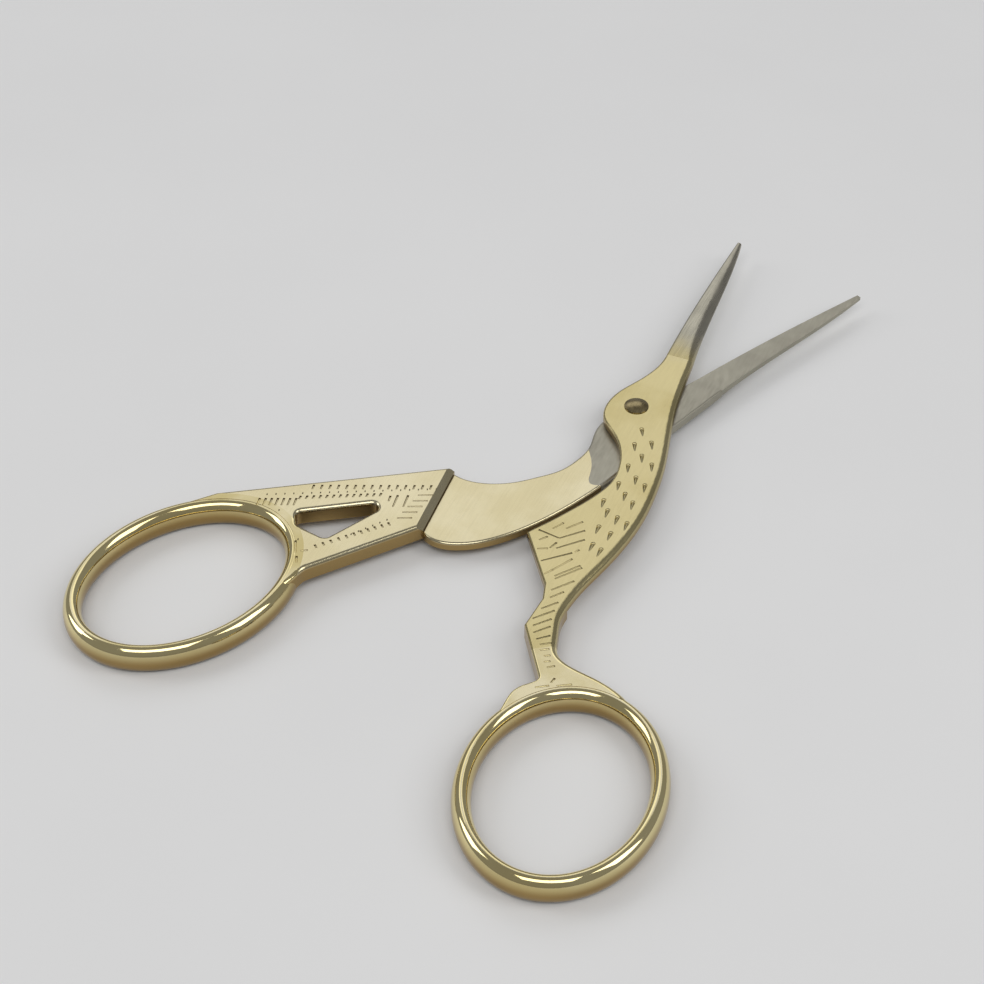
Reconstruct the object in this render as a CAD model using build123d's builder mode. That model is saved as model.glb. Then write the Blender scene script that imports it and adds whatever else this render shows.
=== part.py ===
from build123d import *
import math
import os

# Stork embroidery scissors, at real size in millimetres.
# Two forged halves, lapped at the stork's eye, turn on one rivet.
# They lie flat on the table at Z = 0, with the rivet's axis on the origin.
# The front half's blade points along +Y, and its neck and leg run down -Y.

os.makedirs("parts", exist_ok=True)

# The whole tool
handle_thickness = 3.5
underside_height = 1.3
lap_gap = 0.1
rest_opening = 27.6
closing_gap = 0.3

# Beak blades
blade_reach = 39.6
blade_root_drop = 11.5
blade_root_width = 3.65
blade_tip_thickness = 0.55

# Head, neck and breast, measured by the breast's reach and the shoulder's drop
breast_width = 8.0
shoulder_drop = 26.9
back_round = 0.3
breast_round = 0.8

# Leg and foot, measured by the ankle's place
ankle_side = 6.9
ankle_drop = 47.9
belly_width = 1.9
belly_drop = 34.2

# Recessed back of the rear half
rim_round = 0.3

# Wing, measured by the place where its top edge meets the ring
step_lean = 3.0
step_rise = 2.7
step_fall = 8.6
step_run = 0.7
step_foot = 0.3
wing_bevel = 0.5
wing_edge_break = 0.2
wing_root_side = 19.1
wing_root_drop = 49.8
window_round = 0.8

# Finger rings
ring_band = 2.15
ring_seam = 270.0
full_turn = 360.0
shoulder_share = 0.6
shoulder_margin = 0.1
front_ring_length = 24.4
front_ring_width = 18.3
front_ring_side = 14.95
front_ring_drop = 60.8
front_ring_lean = 8.5
rear_ring_length = 25.7
rear_ring_width = 19.0
rear_ring_side = 9.9
rear_ring_drop = 60.4
rear_ring_lean = 6.0

# Rivet that makes the eye
rivet_radius = 1.1
rivet_clearance = 0.05
eye_radius = 1.5
eye_rim = 0.12
eye_height = 0.5
tail_radius = 1.7
tail_flat_radius = 1.2
tail_gap = 0.05

# Engraving, cut with round gravers that run out of the face
feather_length = 1.4
feather_width = 0.62
feather_depth = 0.2
feather_lean = 30.0
feather_fade_share = 0.4
line_width = 0.28
line_depth = 0.12
line_fade_share = 0.8
dot_width = 0.36
dot_depth = 0.12

# Levels of the half lap
lap_layer = (handle_thickness - underside_height - lap_gap) / 2
rear_top = underside_height + lap_layer
front_bottom = rear_top + lap_gap
blade_edge = lap_layer - breast_round
overrun = 2.0

# Blade stations: way to the tip, both sides over the root width, and the bevel over the breast's round
blade_shares = [
    (0.0, -0.08, 0.92, 1.0),
    (0.32, -0.15, 0.62, 1.7),
    (0.70, -0.14, 0.37, 1.3),
    (1.0, -0.09, 0.07, 0.4),
]

# Outline points as shares of the breast's reach and the shoulder's drop
head_back_shares = [(-0.06, 0.33), (-0.235, 0.18), (-0.40, 0.07), (-0.455, -0.04), (-0.385, -0.125)]
neck_back_shares = [(-0.10, -0.22), (0.15, -0.325), (0.265, -0.43), (0.29, -0.535), (0.20, -0.64)]
shoulder_shares = [(0.03, -0.755), (-0.19, -0.88), (-0.42, -1.0)]
tail_shares = [(0.07, -0.745), (-0.13, -0.835), (-0.37, -0.895)]
rear_head_shares = [(-0.02, 0.20), (-0.15, 0.10), (-0.25, 0.0), (-0.25, -0.09), (-0.19, -0.155)]
rear_cheek_share = (0.62, 0.06)
breast_shares = [(0.58, 0.06), (0.74, -0.14), (0.90, -0.34), (0.985, -0.52), (1.02, -0.70)]
belly_round_shares = [(0.98, -0.88), (0.87, -1.07), (0.76, -1.22)]
rear_belly_shares = [(0.99, -0.90), (0.89, -1.05), (0.67, -1.19), (0.38, -1.265)]

# Edge of the ground steel across the rear half's back, in the same shares
steel_edge_shares = [
    (-1.0, -0.23), (0.22, -0.345), (0.62, -0.435), (0.82, -0.49), (1.0, -0.445), (1.3, -0.32),
]

# Leg and foot outline as shares of the ankle's side and drop
thigh_share = (0.377, 0.762)
calf_share = (0.82, 0.762)
knee_share = (0.348, 0.86)
heel_shares = [(0.83, 1.045), (0.735, 1.11), (0.735, 1.18)]
calf_shares = [
    (0.825, 0.80), (0.93, 0.856), (1.14, 0.920), (1.377, 0.937), (1.88, 0.952), (2.45, 0.985), (2.89, 1.04),
]

# Wing outline and window corners as shares of the wing root's side and drop
wing_end_share = (-1.04, 1.067)
limb_shares = [(-0.045, 1.104), (-0.042, 1.074), (-0.054, 1.04), (-0.076, 1.01), (-0.084, 0.981)]
window_shares = [(-0.30, 0.722), (-0.238, 0.735), (-0.232, 0.893), (-0.44, 0.917), (-0.545, 0.893)]

# Engraved cuts as shares like the outlines; a row gives its first cut, its last deep end and its count
feather_shares = [
    (0.275, -0.145), (0.30, -0.257), (0.525, -0.216), (0.50, -0.32), (0.394, -0.409), (0.7125, -0.36),
    (0.60, -0.472), (0.4125, -0.539), (0.7875, -0.506), (0.5875, -0.595), (0.35, -0.673), (0.7625, -0.636),
    (0.4875, -0.729), (0.675, -0.755), (0.85, -0.774), (0.50, -0.844), (0.7125, -0.863), (0.5625, -0.959),
    (0.7125, -0.978),
]
fan_shares = [
    ((0.0, -0.885), (-0.10, -0.94)), ((0.25, -0.845), (0.08, -0.915)), ((-0.28, -0.97), (0.06, -0.985)),
    ((0.35, -0.895), (0.07, -0.985)), ((-0.10, -0.995), (-0.19, -1.03)), ((0.07, -1.015), (0.02, -1.06)),
    ((0.0, -1.065), (-0.14, -1.085)), ((0.42, -0.95), (0.11, -1.05)), ((0.43, -1.02), (0.39, -1.04)),
    ((0.36, -1.05), (0.01, -1.15)), ((0.41, -1.085), (0.24, -1.18)), ((0.24, -1.18), (0.16, -1.22)),
    ((0.61, -1.12), (0.34, -1.23)), ((0.57, -1.11), (0.31, -1.215)), ((0.61, -1.21), (0.38, -1.30)),
]
rung_shares = [
    ((0.65, 0.724), (0.49, 0.755)), ((0.66, 0.762), (0.46, 0.798)), ((0.68, 0.791), (0.42, 0.837)),
    ((0.71, 0.820), (0.49, 0.858)), ((0.76, 0.844), (0.56, 0.879)), ((0.84, 0.872), (0.66, 0.896)),
    ((0.92, 0.893), (0.76, 0.909)), ((0.94, 0.914), (0.81, 0.926)), ((1.01, 0.932), (0.92, 0.940)),
    ((1.06, 0.949), (0.97, 0.957)), ((1.17, 0.959), (1.06, 0.971)), ((1.25, 1.022), (1.06, 1.040)),
    ((1.57, 0.998), (1.36, 1.016)), ((1.27, 0.995), (1.25, 1.012)),
]
barb_shares = [
    ((-0.673, 0.803), (-0.647, 0.816), (-0.210, 0.584), 15),
    ((-0.781, 0.932), (-0.737, 0.953), (-0.638, 0.864), 7),
    ((-0.638, 0.851), (-0.621, 0.862), (-0.346, 0.695), 13),
    ((-0.266, 0.669), (-0.198, 0.704), (-0.225, 0.650), 2),
    ((-0.290, 0.684), (-0.257, 0.700), (-0.290, 0.684), 1),
    ((-0.130, 0.604), (-0.188, 0.632), (-0.040, 0.692), 5),
    ((-0.101, 0.746), (-0.068, 0.749), (-0.159, 0.831), 6),
    ((-0.170, 0.850), (-0.137, 0.853), (-0.217, 0.926), 5),
    ((-0.201, 0.949), (-0.224, 0.964), (-0.201, 0.949), 1),
    ((-0.321, 0.952), (-0.231, 0.976), (-0.321, 0.952), 1),
    ((-0.202, 0.981), (-0.154, 0.994), (-0.202, 0.981), 1),
]
wing_dot_shares = [
    ((-0.785, 0.912), (-0.780, 0.910), (-0.165, 0.585), 20),
    ((-0.126, 0.743), (-0.121, 0.741), (-0.157, 0.839), 6),
    ((-0.322, 0.946), (-0.317, 0.944), (-0.616, 0.922), 2),
]


def body_points(shares):
    return [(x * breast_width, y * shoulder_drop) for x, y in shares]


def leg_points(shares):
    return [(x * ankle_side, -y * ankle_drop) for x, y in shares]


def wing_points(shares):
    return [(x * wing_root_side, -y * wing_root_drop) for x, y in shares]


# The rear half is drawn closed, on a plane turned by the opening
front_plane = Plane.XY
rear_plane = Plane.XY.rotated((0, 0, -rest_opening))


def blade_sides(station):
    # Spine side and edge side of the blade at one station
    drop = blade_root_drop + station[0] * (blade_reach - blade_root_drop)
    return Vector(station[1] * blade_root_width, drop), Vector(station[2] * blade_root_width, drop)


# Places and runs that several pieces share
spine_root, edge_root = blade_sides(blade_shares[0])
spine_next, edge_next = blade_sides(blade_shares[1])
neck_end, shoulder = (Vector(*point) for point in body_points(shoulder_shares)[-2:])
rear_cheek = body_points([rear_cheek_share])[0]
belly_end = (belly_width, -belly_drop)
thigh, calf, knee = leg_points([thigh_share, calf_share, knee_share])
ankle = (ankle_side, -ankle_drop)
shin = Plane(origin=(Vector(*knee) + Vector(*ankle)) / 2, z_dir=Vector(*ankle) - Vector(*knee))
wing_root = (-wing_root_side, -wing_root_drop)
wing_end = wing_points([wing_end_share])[0]

# Each ring: its half's plane, centre, inner width, inner length and lean
front_ring_spot = (front_ring_side, -front_ring_drop)
rear_ring_spot = (-rear_ring_side, -rear_ring_drop)
front_ring_place = (front_plane, front_ring_spot, front_ring_width, front_ring_length, front_ring_lean)
rear_ring_place = (rear_plane, rear_ring_spot, rear_ring_width, rear_ring_length, rear_ring_lean)

# The wing's step stands just off the front half's belly edge when the scissors are closed
belly_angle = math.degrees(math.atan2(belly_end[1] - shoulder.Y, belly_end[0] - shoulder.X))
belly_normal = Vector(1, 0).rotate(Axis.Z, belly_angle + 90)
step_line = Vector(1, 0).rotate(Axis.Z, belly_angle - step_lean)
step_near = shoulder - closing_gap * belly_normal
step_high = step_near - step_rise * step_line
step_low = step_near + step_fall * step_line


def forged_blade(half_plane, inner_level, outward):
    # Flat inner face, thick spine and a rolled bevel down to the cutting edge, tapering to the tip
    with BuildPart() as forging:
        for station in blade_shares:
            thickness = lap_layer + station[0] * (blade_tip_thickness - lap_layer)
            spine, edge = (point.X for point in blade_sides(station))
            side = 1
            if outward < 0:
                spine, edge = edge, spine
                side = -1
            crest = edge - side * station[3] * breast_round
            soft = back_round * thickness / lap_layer
            section = Plane(
                origin=half_plane.from_local_coords((0, blade_sides(station)[0].Y, inner_level)),
                x_dir=half_plane.x_dir,
                z_dir=-half_plane.y_dir,
            )
            with BuildSketch(section):
                with BuildLine():
                    spine_foot = (spine, outward * (thickness - soft))
                    spine_crest = (spine + side * soft, outward * thickness)
                    edge_top = (edge, outward * blade_edge)
                    bevel_crest = (crest, outward * thickness)
                    Polyline(spine_foot, (spine, 0), (edge, 0), edge_top)
                    TangentArc(bevel_crest, edge_top, tangent=(side, 0))
                    Line(bevel_crest, spine_crest)
                    TangentArc(spine_crest, spine_foot, tangent=(-side, 0))
                make_face()
        loft()
    return forging.part


def finger_ring(half_plane, spot, width, length, lean):
    # A band of tall oval section, bent to an oval round the finger
    across = (width + ring_band) / 2
    along = (length + ring_band) / 2
    with BuildPart() as ring:
        with BuildLine(half_plane.offset(handle_thickness / 2)) as loop:
            EllipticalCenterArc(spot, across, along, start_angle=ring_seam, arc_size=full_turn, rotation=lean)
        with BuildSketch(Plane(origin=loop.line @ 0, x_dir=-half_plane.z_dir, z_dir=loop.line % 0)):
            Ellipse(handle_thickness / 2, ring_band / 2)
        sweep()
    return ring.part


def ring_wall(half_plane, spot, width, length, lean, margin):
    # Upright oval prism that marks a share of the ring's band
    with BuildPart() as wall:
        with BuildSketch(half_plane):
            with Locations(spot):
                Ellipse(width / 2 + margin, length / 2 + margin, rotation=lean)
        extrude(amount=handle_thickness + overrun)
    return wall.part


def graved(half_plane, rows, width, depth, fade, round_end):
    # Rows of cuts in the top face, each deep at its start and running out at its far end
    level = handle_thickness + width / 2 - depth
    with BuildPart() as cuts:
        for start, end, last, count in rows:
            deep = half_plane.from_local_coords((*start, level))
            run = half_plane.from_local_coords((*end, level)) - deep
            gap = (half_plane.from_local_coords((*last, level)) - deep) / max(count - 1, 1)
            with Locations(*[Plane(origin=deep + place * gap, z_dir=run) for place in range(count)]):
                Cone(width / 2, fade * width / 2, run.length, align=(Align.CENTER, Align.CENTER, Align.MIN))
                if round_end:
                    Sphere(width / 2)
    return cuts.part


def single_cuts(points):
    # Cuts that stand alone, each from its deep end to its far end
    return [(start, end, start, 1) for start, end in zip(points[0::2], points[1::2])]


def feather_cuts():
    # Drops that hang down the neck, leaning less the lower they lie
    drops = []
    for across, down in feather_shares:
        deep = Vector(*body_points([(across, down)])[0])
        tail = deep + Vector(0, -feather_length).rotate(Axis.Z, feather_lean * (1 + down))
        drops += [(deep.X, deep.Y), (tail.X, tail.Y)]
    return graved(front_plane, single_cuts(drops), feather_width, feather_depth, feather_fade_share, True)


def plumage_cuts():
    # The fan below the neck, the rungs down the leg and the bars on the foot
    strokes = body_points([point for stroke in fan_shares for point in stroke])
    strokes += leg_points([point for stroke in rung_shares for point in stroke])
    return graved(front_plane, single_cuts(strokes), line_width, line_depth, line_fade_share, False)


def wing_cuts():
    # Rows of barbs and dots on the wing
    barbs = [(*wing_points(row[:3]), row[3]) for row in barb_shares]
    dots = [(*wing_points(row[:3]), row[3]) for row in wing_dot_shares]
    with BuildPart() as cuts:
        add(graved(rear_plane, barbs, line_width, line_depth, line_fade_share, False))
        add(graved(rear_plane, dots, dot_width, dot_depth, line_fade_share, False))
    return cuts.part


def rear_lap():
    # The rear half's lap as forged: head, neck and back, up to the wing's step, with softened rims
    with BuildPart() as lap:
        with BuildSketch(rear_plane.offset(underside_height)):
            with BuildLine():
                rear_head, *rest_of_back = body_points(rear_head_shares + neck_back_shares + tail_shares)
                Line(spine_root, rear_head)
                Spline(rear_head, *rest_of_back, step_high)
                Line(step_high, step_low)
                Spline(step_low, *reversed(body_points(breast_shares[1:] + rear_belly_shares)), rear_cheek)
                Polyline(rear_cheek, edge_root, spine_root)
            make_face()
        extrude(amount=lap_layer)
        fillet(faces().sort_by(Axis.Z)[-1].edges().sort_by(Edge.length)[-2:], rim_round)
    return lap.part


def front_plan():
    # The front half's outline from the blade's root to inside the ring's band
    with BuildSketch() as plan:
        with BuildLine():
            back = [spine_root, *body_points(head_back_shares + neck_back_shares + shoulder_shares)]
            Spline(*back, tangents=[spine_root - spine_next, shoulder - neck_end])
            Polyline(shoulder, belly_end, thigh, knee, ankle)
            heel = leg_points(heel_shares)
            shank_run = Vector(*ankle) - Vector(*knee)
            heel_run = Vector(*heel[-1]) - Vector(*heel[-2])
            Spline(ankle, *heel, tangents=[shank_run, heel_run])
            Line(heel[-1], leg_points(calf_shares)[-1])
            breast = [*body_points(breast_shares + belly_round_shares), calf, *leg_points(calf_shares)]
            foot_run = Vector(*breast[-1]) - Vector(*breast[-2])
            Spline(edge_root, *breast, tangents=[edge_root - edge_next, foot_run])
            Line(edge_root, spine_root)
        make_face()
    return plan.sketch


def front_blank():
    # The front half as forged: one layer over the lap, and full height from the thigh down
    with BuildPart() as leg:
        with BuildSketch(front_plane.offset(underside_height)):
            add(front_plan())
        extrude(amount=front_bottom - underside_height)
        split(bisect_by=Plane(origin=(*thigh, 0), z_dir=-front_plane.y_dir), keep=Keep.TOP)
    with BuildPart() as blank:
        with BuildSketch(front_plane.offset(front_bottom)):
            add(front_plan())
        extrude(amount=lap_layer)
        top = faces().sort_by(Axis.Z)[-1]
        straight = top.edges().filter_by(GeomType.LINE).sort_by(Axis.Y)
        curved = top.edges().filter_by(GeomType.LINE, reverse=True).sort_by(Edge.length)
        fillet(straight[1:-1] + curved[:-1], back_round)
        fillet(faces().sort_by(Axis.Z)[-1].edges().sort_by(Edge.length)[-1:], breast_round)
        add(leg.part)
    return blank.part


def wing_blank():
    # The pierced wing at full height, with a sloping step and rounded top edges
    with BuildPart() as blank:
        with BuildSketch(rear_plane.offset(underside_height)):
            with BuildLine():
                limb = wing_points(limb_shares)
                Polyline(step_high, wing_root, wing_end, limb[0])
                Spline(*limb, tangents=[Vector(*limb[1]) - Vector(*limb[0]), step_low - Vector(*limb[-1])])
                Polyline(limb[-1], step_low, step_high)
            make_face()
            with BuildLine():
                FilletPolyline(*wing_points(window_shares), radius=window_round, close=True)
            make_face(mode=Mode.SUBTRACT)
        extrude(amount=handle_thickness - underside_height)
        top = faces().sort_by(Axis.Z)[-1]
        step_middle = rear_plane.from_local_coords((step_high + step_low) / 2 + Vector(0, 0, handle_thickness))
        step_edge = top.edges().sort_by_distance(step_middle)[0]
        chamfer(step_edge, step_run, lap_layer + lap_gap - step_foot, reference=top)
        top = faces().sort_by(Axis.Z)[-1]
        inside = rear_plane.from_local_coords((*rear_ring_spot, handle_thickness))
        buried = top.edges().sort_by_distance(inside)[:1] + top.edges().sort_by_distance(step_middle)[:1]
        fillet(top.edges() - buried, wing_bevel)
        fillet(faces().sort_by(Axis.Z)[0].edges() - buried, wing_edge_break)
    return blank.part


# Front half: bare steel upper blade, with its cutting edge on the right
with BuildPart() as front_blade:
    add(forged_blade(front_plane, front_bottom, 1))
front_blade.part.label = "front_blade"
export_step(front_blade.part, "parts/front_blade.step")

# Each half's forging and engraving serve both its body and its ring
front_forging = front_blank()
plumage = plumage_cuts()
wing_forging = wing_blank()
wing_lines = wing_cuts()

# Front half: head, neck and breast in the upper layer, then the leg down to the shin, engraved all over
with BuildPart() as front_body:
    add(front_forging)
    split(bisect_by=shin, keep=Keep.BOTTOM)
    add([plumage, feather_cuts()], mode=Mode.SUBTRACT)
    with BuildSketch(front_plane):
        Circle(rivet_radius)
    extrude(amount=handle_thickness + overrun, mode=Mode.SUBTRACT)
front_body.part.label = "front_body"
export_step(front_body.part, "parts/front_body.step")

# Front half: foot, which runs into the ring
with BuildPart() as foot:
    add(front_forging)
    split(bisect_by=shin, keep=Keep.TOP)
    add(ring_wall(*front_ring_place, shoulder_share * ring_band), mode=Mode.SUBTRACT)

# Front half: finger ring with the foot
with BuildPart() as front_ring:
    add(finger_ring(*front_ring_place))
    add(foot.part)
    add(plumage, mode=Mode.SUBTRACT)
front_ring.part.label = "front_ring"
export_step(front_ring.part, "parts/front_ring.step")

# Rear half: what the grinding wheel has bared, down to a wavy edge on the back
with BuildPart() as bared:
    with BuildSketch(rear_plane):
        with BuildLine():
            boundary = Spline(*body_points(steel_edge_shares))
            right, left = boundary @ 1, boundary @ 0
            Polyline(right, (right.X, blade_reach), (left.X, blade_reach), left)
        make_face()
    extrude(amount=handle_thickness)

# Rear half: bare steel lower blade and the ground lap round the rivet
with BuildPart() as rear_blade:
    add(rear_lap())
    add(bared.part, mode=Mode.INTERSECT)
    add(forged_blade(rear_plane, rear_top, -1))
    with BuildSketch(Plane.XY):
        Circle(rivet_radius + rivet_clearance)
    extrude(amount=handle_thickness, mode=Mode.SUBTRACT)
rear_blade.part.label = "rear_blade"
export_step(rear_blade.part, "parts/rear_blade.step")

# Rear half: recessed back, polished flat between the lap and the wing's step
with BuildPart() as rear_back:
    add(rear_lap())
    add(bared.part, mode=Mode.SUBTRACT)
rear_back.part.label = "rear_back"
export_step(rear_back.part, "parts/rear_back.step")

# Rear half: pierced and engraved wing
with BuildPart() as rear_wing:
    add(wing_forging)
    add(wing_lines, mode=Mode.SUBTRACT)
    add(ring_wall(*rear_ring_place, ring_band + shoulder_margin), mode=Mode.SUBTRACT)
rear_wing.part.label = "rear_wing"
export_step(rear_wing.part, "parts/rear_wing.step")

# Rear half: flat shoulder where the wing runs into the ring
with BuildPart() as wing_shoulder:
    add(wing_forging)
    add(ring_wall(*rear_ring_place, ring_band + shoulder_margin), mode=Mode.INTERSECT)
    add(ring_wall(*rear_ring_place, shoulder_share * ring_band), mode=Mode.SUBTRACT)

# Rear half: finger ring
with BuildPart() as rear_ring:
    add(finger_ring(*rear_ring_place))
    add(wing_shoulder.part)
    add(wing_lines, mode=Mode.SUBTRACT)
rear_ring.part.label = "rear_ring"
export_step(rear_ring.part, "parts/rear_ring.step")

# Rivet: domed eye above, shank through both halves, tail spread into the rear half
with BuildPart() as pivot_rivet:
    with BuildSketch(Plane.XZ):
        with BuildLine():
            Polyline(
                (0, handle_thickness + eye_height),
                (0, 0),
                (tail_flat_radius, 0),
                (tail_radius, underside_height / 2),
                (tail_radius, underside_height - tail_gap),
                (rivet_radius, underside_height - tail_gap),
                (rivet_radius, handle_thickness),
                (eye_radius, handle_thickness),
                (eye_radius, handle_thickness + eye_rim),
            )
            TangentArc(
                (0, handle_thickness + eye_height),
                (eye_radius, handle_thickness + eye_rim),
                tangent=(1, 0),
            )
        make_face()
    revolve(axis=Axis.Z)
pivot_rivet.part.label = "pivot_rivet"
export_step(pivot_rivet.part, "parts/pivot_rivet.step")
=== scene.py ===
import math

import bpy
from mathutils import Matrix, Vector

# Small stork scissors for needlework, lying open on a pale table.
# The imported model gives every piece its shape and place; this file gives the
# plating, the ground steel, the rivet's bronze, the light and the camera.
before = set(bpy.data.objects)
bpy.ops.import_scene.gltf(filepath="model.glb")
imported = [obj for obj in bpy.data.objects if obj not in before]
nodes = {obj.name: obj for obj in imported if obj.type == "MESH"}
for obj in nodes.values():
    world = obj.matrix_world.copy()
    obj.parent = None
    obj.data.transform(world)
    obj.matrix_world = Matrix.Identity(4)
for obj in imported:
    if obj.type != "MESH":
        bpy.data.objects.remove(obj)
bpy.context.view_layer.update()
bpy.ops.object.select_all(action="DESELECT")


# Camera: it stands beyond the ring end, under 0.3 m from the scissors, and
# looks down along them through a slightly long lens.
camera_place = (0.07157, -0.20764, 0.17962)
line_of_sight = (-0.30357, 0.69096, -0.65606)
lens_mm = 82.434
sensor_mm = 36
nearest_seen = 0.01

bpy.ops.object.camera_add(location=camera_place)
camera = bpy.context.object
camera.name = "camera"
camera.rotation_euler = Vector(line_of_sight).to_track_quat("-Z", "Y").to_euler()
camera.data.lens = lens_mm
camera.data.sensor_width = sensor_mm
camera.data.clip_start = nearest_seen
bpy.context.scene.camera = camera


# Table: a plain pale laminate top, wide enough to fill the picture. It is
# part of the set, not of the scissors, and has only a faint tone and grain.
table_width = 3
laminate_roughness = 0.5
laminate_mottle = 0.04
mottle_detail = 6
laminate_low = (0.82, 0.82, 0.81, 1)
laminate_high = (0.84, 0.84, 0.83, 1)
mottle_edges = (0.3, 0.7)

bpy.ops.mesh.primitive_plane_add(size=table_width, location=(0, 0, 0))
table = bpy.context.object
table.name = "table"

laminate = bpy.data.materials.new("pale_laminate")
laminate.use_nodes = True
tree = laminate.node_tree
shader = tree.nodes["Principled BSDF"]
shader.inputs["Roughness"].default_value = laminate_roughness
coords = tree.nodes.new("ShaderNodeTexCoord")
mottle = tree.nodes.new("ShaderNodeTexNoise")
mottle.inputs["Scale"].default_value = 1 / laminate_mottle
mottle.inputs["Detail"].default_value = mottle_detail
tone = tree.nodes.new("ShaderNodeValToRGB")
for stop, edge, colour in zip(tone.color_ramp.elements, mottle_edges, (laminate_low, laminate_high)):
    stop.position = edge
    stop.color = colour
tree.links.new(coords.outputs["Object"], mottle.inputs["Vector"])
tree.links.new(mottle.outputs["Fac"], tone.inputs["Fac"])
tree.links.new(tone.outputs["Color"], shader.inputs["Base Color"])
table.data.materials.append(laminate)


# Studio light: a wide soft box beyond the scissors that the flat faces mirror,
# two smaller ones that draw bright patches on the rings, one high behind the
# camera for the table and the bevels, and a dim grey room.
room_grey = (0.26, 0.26, 0.27, 1)
wing_side = (-0.02, -0.03, 0)
leg_side = (0, -0.03, 0)
near_rivet = (-0.01, -0.02, 0)
rivet_foot = (0, 0, 0)


def soft_box(name, place, aim, width, height, brightness):
    """A rectangular soft lamp whose face is as bright at any size"""
    bpy.ops.object.light_add(type="AREA", location=place)
    lamp = bpy.context.object
    lamp.name = name
    lamp.data.shape = "RECTANGLE"
    lamp.data.size = width
    lamp.data.size_y = height
    lamp.data.energy = brightness * math.pi * width * height
    lamp.rotation_euler = (Vector(aim) - Vector(place)).to_track_quat("-Z", "Y").to_euler()


soft_box("box_beyond", (-0.35, 0.62, 0.62), near_rivet, width=0.75, height=0.5, brightness=0.9)
soft_box("box_left", (-0.75, -0.15, 0.5), wing_side, width=0.4, height=0.5, brightness=2.4)
soft_box("box_right", (0.6, 0.1, 0.55), leg_side, width=0.36, height=0.5, brightness=2.4)
soft_box("box_behind", (0.2, -0.55, 0.85), rivet_foot, width=0.9, height=0.5, brightness=2.5)

room = bpy.data.worlds.new("room")
room.use_nodes = True
room.node_tree.nodes["Background"].inputs["Color"].default_value = room_grey
room.node_tree.nodes["Background"].inputs["Strength"].default_value = 1
bpy.context.scene.world = room


# Front half: forged steel with a thin pale gold plating, softly polished on the
# flats. The walls get a deeper painted shade, the engraved cuts and corners get a
# dark brown painted shade, and the plating wears off towards the ground beak.
pale_gold = (0.55, 0.475, 0.25, 1)
deep_gold = (0.48, 0.405, 0.19, 1)
# Painted shade: a deeper colour laid on the walls, and a dark brown laid in cuts and corners.
painted_wall_shade = (0.36, 0.245, 0.095, 1)
painted_cut_shade = (0.17, 0.12, 0.045, 1)
steel_tone = (0.44, 0.415, 0.335, 1)
gold_patch = 0.009
patch_detail = 5
patch_edges = (0.32, 0.62)
wall_to_face = (-0.1, 0.6)
cut_reach = 0.0006
cut_samples = 8
cut_to_open = (0.35, 0.85)
mark_detail = 3
mark_strength = 0.6
mark_edges = (0.3, 0.7)
bare_from_to = (0.0115, 0.02)
ragged_by = 0.004
ragged_patch = 0.0025
ragged_detail = 3


def span(tree, source, low, high, start=0, end=1):
    """A share that eases from start to end while the source goes from low to high"""
    ease = tree.nodes.new("ShaderNodeMapRange")
    ease.interpolation_type = "SMOOTHSTEP"
    ease.inputs["From Min"].default_value = low
    ease.inputs["From Max"].default_value = high
    ease.inputs["To Min"].default_value = start
    ease.inputs["To Max"].default_value = end
    tree.links.new(source, ease.inputs["Value"])
    return ease.outputs["Result"]


def laid_over(tree, share, under, top):
    """One tone laid over another by a share; each is a colour or a node's output"""
    coat = tree.nodes.new("ShaderNodeMix")
    coat.data_type = "RGBA"
    tree.links.new(share, coat.inputs[0])
    for socket, tone in ((coat.inputs[6], under), (coat.inputs[7], top)):
        if isinstance(tone, tuple):
            socket.default_value = tone
        else:
            tree.links.new(tone, socket)
    return coat.outputs[2]


def grain(tree, coords, size, detail):
    """Cloudy unevenness of one size"""
    cloud = tree.nodes.new("ShaderNodeTexNoise")
    cloud.inputs["Scale"].default_value = 1 / size
    cloud.inputs["Detail"].default_value = detail
    tree.links.new(coords.outputs["Object"], cloud.inputs["Vector"])
    return cloud.outputs["Fac"]


def clouded(tree, coords, size, detail, edges, under, top):
    """Two tones that drift into each other in patches of one size"""
    return laid_over(tree, span(tree, grain(tree, coords, size, detail), *edges), under, top)


def upright(tree, coords):
    """How far a face looks up: 1 on a flat top, 0 on a wall"""
    facing = tree.nodes.new("ShaderNodeSeparateXYZ")
    tree.links.new(coords.outputs["Normal"], facing.inputs["Vector"])
    return facing.outputs["Z"]


def plating(tree, coords, pale, deep, patch):
    """Gold that drifts a little in tone, with painted shade: darker on the walls and dark brown in cuts
    and corners
    """
    # Occlusion over a short reach finds cuts and corners, where a dark brown painted shade is laid.
    corners = tree.nodes.new("ShaderNodeAmbientOcclusion")
    corners.inputs["Distance"].default_value = cut_reach
    corners.samples = cut_samples
    face = clouded(tree, coords, patch, patch_detail, patch_edges, deep, pale)
    # Painted shade: walls darker than the flats, by how far they turn from upright.
    walled = laid_over(tree, span(tree, upright(tree, coords), *wall_to_face), painted_wall_shade, face)
    return laid_over(tree, span(tree, corners.outputs["AO"], *cut_to_open), painted_cut_shade, walled)


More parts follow.
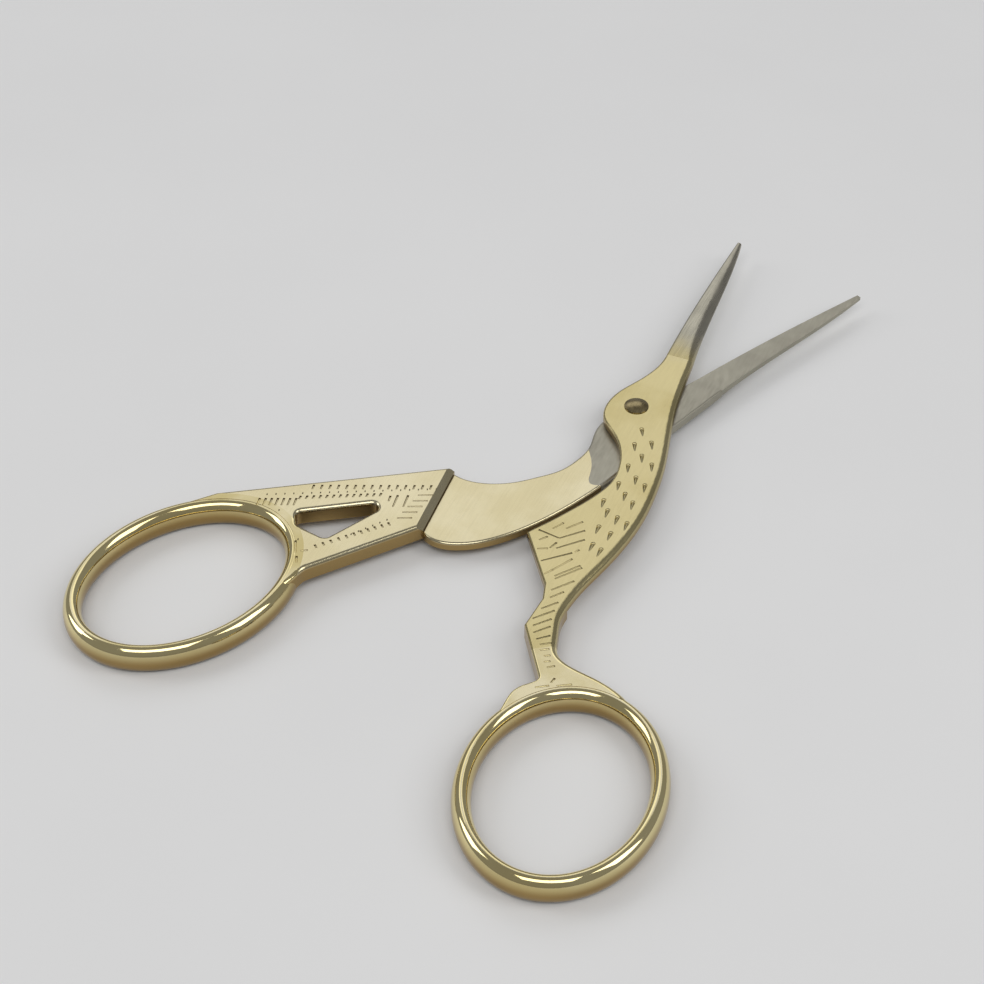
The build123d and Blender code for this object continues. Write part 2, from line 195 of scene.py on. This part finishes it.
def polish_marks(tree, coords, shader, smooth, worn, along, across, turn, depth):
    """Fine polishing lines that run one way, with the gloss uneven along them"""
    lay = tree.nodes.new("ShaderNodeMapping")
    lay.inputs["Rotation"].default_value = (0, 0, math.radians(turn))
    lay.inputs["Scale"].default_value = (1 / across, 1 / along, 1 / across)
    lines = tree.nodes.new("ShaderNodeTexNoise")
    lines.inputs["Scale"].default_value = 1
    lines.inputs["Detail"].default_value = mark_detail
    bump = tree.nodes.new("ShaderNodeBump")
    bump.inputs["Strength"].default_value = mark_strength
    bump.inputs["Distance"].default_value = depth
    gloss = span(tree, lines.outputs["Fac"], *mark_edges, smooth, worn)
    tree.links.new(coords.outputs["Object"], lay.inputs["Vector"])
    tree.links.new(lay.outputs["Vector"], lines.inputs["Vector"])
    tree.links.new(gloss, shader.inputs["Roughness"])
    tree.links.new(lines.outputs["Fac"], bump.inputs["Height"])
    tree.links.new(bump.outputs["Normal"], shader.inputs["Normal"])
    return gloss


def bare_metal(name):
    """An empty metal finish with its node tree, shader and coordinates"""
    finish = bpy.data.materials.new(name)
    finish.use_nodes = True
    tree = finish.node_tree
    shader = tree.nodes["Principled BSDF"]
    shader.inputs["Metallic"].default_value = 1
    return finish, tree, shader, tree.nodes.new("ShaderNodeTexCoord")


def worn_to_steel(tree, coords, gold, steel):
    """Plating that thins out along the beak, in a ragged fade"""
    place = tree.nodes.new("ShaderNodeSeparateXYZ")
    ragged = tree.nodes.new("ShaderNodeMath")
    ragged.operation = "MULTIPLY_ADD"
    ragged.inputs[1].default_value = ragged_by
    tree.links.new(coords.outputs["Object"], place.inputs["Vector"])
    tree.links.new(grain(tree, coords, ragged_patch, ragged_detail), ragged.inputs[0])
    tree.links.new(place.outputs["Y"], ragged.inputs[2])
    return laid_over(tree, span(tree, ragged.outputs["Value"], *bare_from_to), gold, steel)


def finished(piece, finish):
    """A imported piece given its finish"""
    nodes[piece].data.materials.clear()
    nodes[piece].data.materials.append(finish)


front_gold, tree, shader, coords = bare_metal("front_gold")
# The plated colour carries painted shade on the walls and in the cuts and corners.
shaded_plating = plating(tree, coords, pale_gold, deep_gold, gold_patch)
tree.links.new(worn_to_steel(tree, coords, shaded_plating, steel_tone), shader.inputs["Base Color"])
polish_marks(tree, coords, shader, smooth=0.16, worn=0.26,
             along=0.004, across=0.0001, turn=20, depth=0.000002)
finished("front_body", front_gold)


# Beak, upper half: bare carbon steel, ground across and then stoned, so it is
# greyer and duller than the plating. A little gold is left at its root.
dull_steel = (0.38, 0.36, 0.29, 1)
stoned_patch = 0.003
stoned_detail = 5
stoned_edges = (0.35, 0.65)

front_steel, tree, shader, coords = bare_metal("front_steel")
stoned = clouded(tree, coords, stoned_patch, stoned_detail, stoned_edges, dull_steel, steel_tone)
tree.links.new(worn_to_steel(tree, coords, deep_gold, stoned), shader.inputs["Base Color"])
polish_marks(tree, coords, shader, smooth=0.24, worn=0.36,
             along=0.008, across=0.00015, turn=0, depth=0.000003)
finished("front_blade", front_steel)


# Beak, lower half, with the lap round the rivet: the same steel, ground flat on
# a wide wheel, so it is matt and even, with hardly a mark.
ground_low = (0.37, 0.35, 0.285, 1)
ground_high = (0.42, 0.40, 0.325, 1)
ground_patch = 0.004
ground_detail = 4
ground_edges = (0.3, 0.7)

rear_steel, tree, shader, coords = bare_metal("rear_steel")
ground = clouded(tree, coords, ground_patch, ground_detail, ground_edges, ground_low, ground_high)
tree.links.new(ground, shader.inputs["Base Color"])
polish_marks(tree, coords, shader, smooth=0.36, worn=0.46,
             along=0.002, across=0.0003, turn=60, depth=0.0000015)
finished("rear_blade", rear_steel)


# Rear half: the recessed back and the pierced wing have the same plating as the
# front half, a little paler, and polished along the wing.
worn_gold = (0.64, 0.575, 0.38, 1)
worn_deep = (0.58, 0.51, 0.31, 1)

rear_gold, tree, shader, coords = bare_metal("rear_gold")
# The same painted shade on the walls and in the cuts and corners as on the front half.
shaded_plating = plating(tree, coords, worn_gold, worn_deep, gold_patch)
tree.links.new(shaded_plating, shader.inputs["Base Color"])
polish_marks(tree, coords, shader, smooth=0.15, worn=0.24,
             along=0.005, across=0.00012, turn=50, depth=0.000002)
finished("rear_back", rear_gold)
finished("rear_wing", rear_gold)


# Finger rings, the front one with the foot: the same plating, buffed mirror
# bright round the band, while the flats of foot and wing stay satin.
bright_gold = (0.80, 0.70, 0.38, 1)
rich_gold = (0.74, 0.62, 0.30, 1)
ring_patch = 0.012
flat_edges = (0.985, 0.9995)
mirror_roughness = 0.05
satin_roughness = 0.2

ring_gold, tree, shader, coords = bare_metal("ring_gold")
# The band's colour carries painted shade: darker on its walls, dark brown in its corners.
mirror = plating(tree, coords, bright_gold, rich_gold, ring_patch)
satin = clouded(tree, coords, gold_patch, patch_detail, patch_edges, deep_gold, worn_gold)
flat_top = span(tree, upright(tree, coords), *flat_edges)
tree.links.new(laid_over(tree, flat_top, mirror, satin), shader.inputs["Base Color"])
buffed = polish_marks(tree, coords, shader, smooth=mirror_roughness, worn=0.1,
                      along=0.003, across=0.0003, turn=65, depth=0.000001)
duller = tree.nodes.new("ShaderNodeMath")
duller.operation = "MAXIMUM"
tree.links.new(buffed, duller.inputs[0])
flat_gloss = span(tree, upright(tree, coords), *flat_edges, mirror_roughness, satin_roughness)
tree.links.new(flat_gloss, duller.inputs[1])
tree.links.new(duller.outputs["Value"], shader.inputs["Roughness"])
finished("front_ring", ring_gold)
finished("rear_ring", ring_gold)


# Rivet: dark bronze, peened over and left with a soft domed head that reads as
# the stork's eye.
tarnished_bronze = (0.20, 0.155, 0.075, 1)
rubbed_bronze = (0.32, 0.26, 0.14, 1)
tarnish_patch = 0.0012

dark_bronze, tree, shader, coords = bare_metal("dark_bronze")
bronze = clouded(tree, coords, tarnish_patch, patch_detail, patch_edges, tarnished_bronze, rubbed_bronze)
tree.links.new(bronze, shader.inputs["Base Color"])
polish_marks(tree, coords, shader, smooth=0.2, worn=0.34,
             along=0.0009, across=0.0002, turn=0, depth=0.000003)
finished("pivot_rivet", dark_bronze)


# Colours show as they are written.
bpy.context.scene.view_settings.view_transform = "Standard"
bpy.context.view_layer.update()
